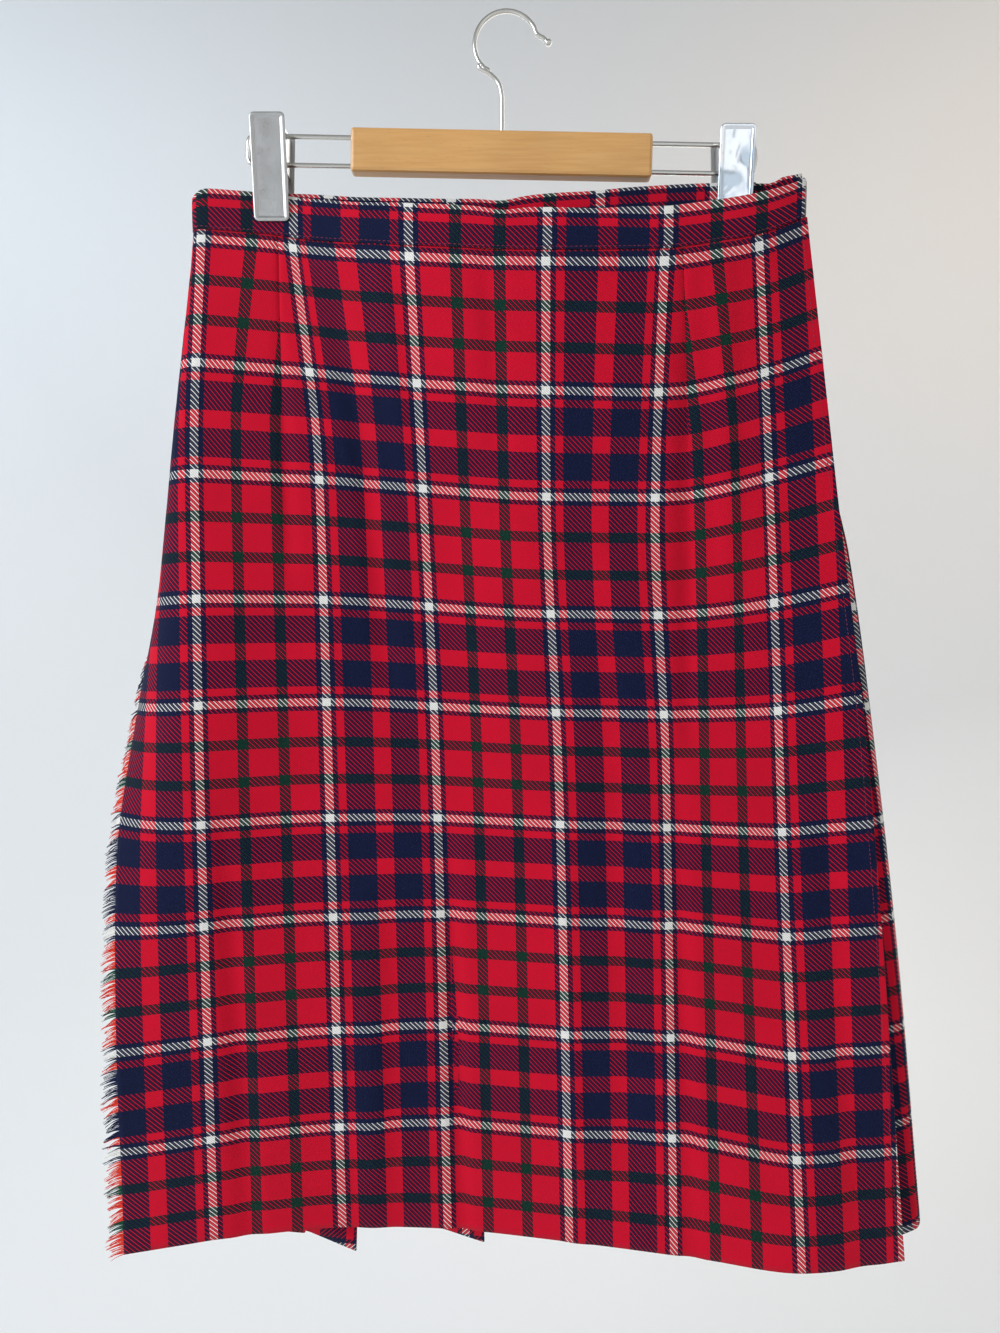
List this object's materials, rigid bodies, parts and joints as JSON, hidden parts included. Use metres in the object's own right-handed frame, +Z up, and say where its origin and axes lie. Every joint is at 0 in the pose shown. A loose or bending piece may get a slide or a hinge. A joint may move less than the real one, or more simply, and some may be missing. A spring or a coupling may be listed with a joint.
{
  "type": "pleated tartan kilt on a clip hanger",
  "caption": "Wraparound pleated kilt in checked wool, closed and hung flat from a wooden hanger with sliding metal clips and a wire hook.",
  "frame": {"origin": "The top of the inside of the hanger's hook, where it bears on the rail, peg or wall hook that holds it.", "axes": "+Z up; the front apron faces -Y; +X is to the right of someone looking at the front; the cloth hangs down to -Z."},
  "size_m": [0.5489, 0.0606, 0.7998],
  "materials": {
    "tartan_wool": "2/2 twill worsted in a red, navy, green and white check",
    "fringe_wool": "ravelled yarn ends of the same check",
    "beech": "waxed",
    "steel": "nickel plated",
    "horn": "polished horn"
  },
  "bodies": {
    "root": {"apron_front": "tartan_wool", "apron_under": "tartan_wool", "pleats_back": "tartan_wool", "waistband_front": "tartan_wool", "waistband_back": "tartan_wool", "waistband_under": "tartan_wool", "fringe": "fringe_wool", "button": "horn", "hanger_bar": "beech", "hanger_hook": "steel", "hanger_wire_left": "steel", "hanger_wire_right": "steel", "clip_front_left": "steel", "clip_back_left": "steel", "clip_saddle_left": "steel", "clip_spring_left": "steel", "clip_front_right": "steel", "clip_back_right": "steel", "clip_saddle_right": "steel", "clip_spring_right": "steel"}
  },
  "joints": []
}
